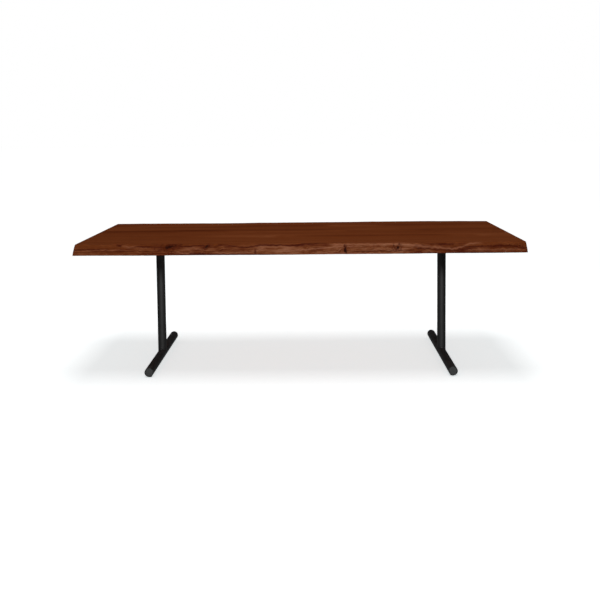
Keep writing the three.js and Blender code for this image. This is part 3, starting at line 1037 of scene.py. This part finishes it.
# Flange bolt: its hexagon, its rings as (greatest radius, height) in millimetres from the head's face
# up, and its shank
BOLT_SIDES = 72
BOLT_FLATS = 13 * MM
HEAD_RINGS = [(0.05, 0.35), (4.4, 0.35), (5.2, 0.0), (6.1, 0.0), (6.7, 0.25), (7.2, 0.6)]
HEAD_RINGS += [(7.5, 1.0), (7.5, 3.2), (7.5, 5.2)]
FLANGE_RINGS = [(8.0, 6.2), (8.7, 6.8), (8.9, 7.4), (8.9, 8.0), (4.0, 8.0)]
SHANK_RADIUS = 4.0 * MM
SHANK_START = 9.5 * MM


def end_cap(side, end):
    """A plug in the base tube's end, slightly domed, with a ring groove."""
    node = f"{side}_{end}_end_cap"
    low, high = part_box(node)
    radius = (high.x - low.x) / 2 + 0.2 * MM
    depth = high.y - low.y
    wall = radius - 2 * MM
    profile = [(place * MM, sunk * MM) for place, sunk in CAP_DOME]
    profile += [(radius - inset * MM, sunk * MM) for inset, sunk in CAP_GROOVE]
    profile += fillet((radius - CAP_RIM, 1.35 * MM), CAP_RIM, -90, 0)
    profile += [(radius, depth), (wall, depth), (wall, CAP_FLOOR), (AXIS, CAP_FLOOR)]
    across, _ = middle(low, high)
    place = (across, low.y if end == "front" else high.y, (low.z + high.z) / 2)
    rings = moved(turned(profile, sides=72), place, long_turn(1 if end == "front" else -1))
    show(skin(node + "_moulded", rings), cap_plastic, [node])


def glide_pad(side, end):
    node = f"{side}_{end}_glide_pad"
    low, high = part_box(node)
    radius = (high.x - low.x) / 2
    height = high.z - low.z
    profile = [(AXIS, 0.0)] + [(radius - inset * MM, rise * MM) for inset, rise in PAD_RING]
    profile += fillet((radius - PAD_RIM, PAD_RIM), PAD_RIM, -90, 0)
    profile += fillet((radius - PAD_RIM, height - PAD_RIM), PAD_RIM, 0, 90)
    profile += [(place * MM, height - sunk * MM) for place, sunk in PAD_DISH]
    profile += [(PAD_SOCKET, PAD_FLOOR), (AXIS, PAD_FLOOR)]
    mesh = skin(node + "_moulded", moved(turned(profile, sides=56), (*middle(low, high), low.z)))
    show(mesh, pad_plastic, [node], f"{side}_{end}_glide")


def threaded(radius, bottom, top, sides):
    """Rings of a rod with a 60 degree thread that runs out at both ends."""
    angle = np.arange(sides) / sides
    rings = []
    for z in np.arange(bottom, top, PITCH / 8):
        turn_share = (z / PITCH - angle) % 1.0
        groove = np.clip(1.15 - np.abs(turn_share - 0.5) * 2.6, 0, 1)
        fade = min(1.0, (z - bottom) / PITCH, (top - z) / PITCH)
        end = max(0.0, 1 - (top - z) / (0.8 * PITCH))
        rings.append(circle(radius - THREAD_DEPTH * groove * fade - 0.9 * MM * end, sides, z))
    return rings


def glide_stud(side, end):
    node = f"{side}_{end}_glide_stud"
    low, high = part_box(node)
    radius = (high.x - low.x) / 2
    neck = [circle(radius, STUD_SIDES, z) for z in (low.z, low.z + 1.4 * MM)]
    rings = neck + threaded(radius, low.z + 2 * MM, high.z, STUD_SIDES)
    mesh = skin(node + "_threaded", moved(rings, (*middle(low, high), 0.0)))
    show(mesh, zinc, [node], f"{side}_{end}_glide")


def bolt(side, number):
    """A hex flange bolt, from its head under the plate up into the insert."""
    node = f"{side}_bolt_{number}"
    low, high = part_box(node)
    hexagon = BOLT_FLATS / 2 / np.cos(all_round(BOLT_SIDES) % (TAU / 6) - TAU / 12)
    head = [circle(np.minimum(hexagon, limit * MM), BOLT_SIDES, z * MM) for limit, z in HEAD_RINGS]
    flange = [circle(radius * MM, BOLT_SIDES, z * MM) for radius, z in FLANGE_RINGS]
    shank = threaded(SHANK_RADIUS, SHANK_START, high.z - low.z, BOLT_SIDES)
    rings = moved(head + flange + shank, (*middle(low, high), low.z))
    show(skin(node + "_plated", rings), zinc, [node])


def repaint(node, material):
    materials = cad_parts[node].data.materials
    materials.clear()
    materials.append(material)


for leg in ("left", "right"):
    base_tube(leg)
    post(leg)
    saddle_weld(leg)
    plate_weld(leg)
    plate(leg)
    for bolt_number in range(1, 7):
        bolt(leg, bolt_number)
        repaint(f"{leg}_insert_{bolt_number}", brass)
    for tube_end in ("front", "rear"):
        end_cap(leg, tube_end)
        glide_pad(leg, tube_end)
        glide_stud(leg, tube_end)
        repaint(f"{leg}_{tube_end}_weld_nut", zinc)


# Studio

FLOOR_ALBEDO = 0.9
# The floor's glow by the table, and the distances between which it brightens
FLOOR_GLOW = (0.662, 0.697, 0.704)
GLOW_CHANGES = (3.0, 8.0)
# How bright the table's gloss shows the floor, under the table and farther out
FLOOR_IN_GLOSS_NEAR = 0.19
FLOOR_IN_GLOSS = 0.05
GLOSS_CHANGES = (1.1, 1.7)
SKY_LIGHT = 0.15
# The same for the sky, low down and overhead, and the height where it starts to brighten
GLOSS_LOW = 0.003
GLOSS_HIGH = 0.35
GLOSS_RISES = 0.40


def floor_white():
    """Softly glowing white, dimmer where the table mirrors it."""
    graph = Graph("pale_floor")
    mirrored = graph.add("LightPath").outputs["Is Glossy Ray"]
    away = graph.length(graph.place())
    glow = graph.mix(graph.between(away, *GLOW_CHANGES), FLOOR_GLOW, grey(0.87))
    dimmed = graph.between(away, *GLOSS_CHANGES, FLOOR_IN_GLOSS_NEAR, FLOOR_IN_GLOSS)
    graph.shader.inputs["Specular IOR Level"].default_value = 0.0
    return graph.finish(
        Base_Color=graph.mix(mirrored, grey(FLOOR_ALBEDO), graph.times(dimmed, FLOOR_ALBEDO)),
        Roughness=1.0,
        Emission_Color=glow,
        Emission_Strength=graph.between(mirrored, 0.0, 1.0, 1.0, dimmed),
    )


def stage_floor():
    """A wide floor, bright enough that the table's shadow stays pale."""
    reach = 60.0
    mesh = bpy.data.meshes.new("floor")
    corners = [(-reach, -reach, 0), (reach, -reach, 0), (reach, reach, 0), (-reach, reach, 0)]
    mesh.from_pydata(corners, [], [(0, 1, 2, 3)])
    mesh.materials.append(floor_white())
    floor = bpy.data.objects.new("floor", mesh)
    scene.collection.objects.link(floor)


def light(name, energy, place, target, size, soft=True):
    """A softbox that lights matt colour, or only makes highlights where it is not soft."""
    data = bpy.data.lights.new(name, "AREA")
    data.energy = energy
    data.shape = "RECTANGLE"
    data.size, data.size_y = size
    lamp = bpy.data.objects.new(name, data)
    lamp.location = place
    lamp.rotation_euler = (Vector(target) - Vector(place)).to_track_quat("-Z", "Y").to_euler()
    lamp.visible_diffuse = soft
    lamp.visible_glossy = not soft
    scene.collection.objects.link(lamp)


def studio_world():
    """White behind the table, soft light all round, and a gloss that comes only from high up."""
    world = bpy.data.worlds.new("studio")
    world.use_nodes = True
    scene.world = world
    tree = world.node_tree
    tree.nodes.clear()

    def white(strength):
        inputs = {"Color": rgba(grey(1.0)), "Strength": strength}
        return add_node(tree, "Background", inputs).outputs[0]

    def mixed(share, first, second):
        return add_node(tree, "MixShader", {0: share, 1: first, 2: second}).outputs[0]

    path = add_node(tree, "LightPath").outputs
    heading = add_node(tree, "TexCoord").outputs["Generated"]
    height = add_node(tree, "SeparateXYZ", {0: heading}).outputs["Z"]
    rise = {"Value": height, 1: GLOSS_RISES, 2: 1.0, 3: GLOSS_LOW, 4: GLOSS_HIGH}
    gloss = add_node(tree, "MapRange", rise).outputs[0]
    lit = mixed(path["Is Glossy Ray"], white(SKY_LIGHT), white(gloss))
    shown = mixed(path["Is Camera Ray"], lit, white(1.0))
    add_node(tree, "OutputWorld", {"Surface": shown})


def studio_camera():
    data = bpy.data.cameras.new("camera")
    data.sensor_width = CAMERA_SENSOR
    data.lens = CAMERA_LENS
    data.shift_x, data.shift_y = CAMERA_SHIFT
    camera = bpy.data.objects.new("camera", data)
    turn = Matrix.Rotation(math.radians(CAMERA_YAW), 4, "Z")
    turn = turn @ Matrix.Rotation(math.radians(90 + CAMERA_PITCH), 4, "X")
    turn = turn @ Matrix.Rotation(math.radians(-CAMERA_ROLL), 4, "Z")
    camera.matrix_world = Matrix.Translation(CAMERA_PLACE) @ turn
    scene.collection.objects.link(camera)
    scene.camera = camera


stage_floor()
studio_world()
studio_camera()
light("overhead", 170.0, (0.0, -0.38, 5.63), (0.0, -0.38, 0.0), (2.5, 4.1))
light("front", 15.0, (0.3, -6.0, 1.7), (0.0, 0.0, 0.4), (5.0, 1.6))
light("highlight", 390.0, (0.3, -6.0, 2.9), (0.0, 0.0, 0.4), (1.6, 0.95), soft=False)
scene.view_settings.view_transform = "Standard"
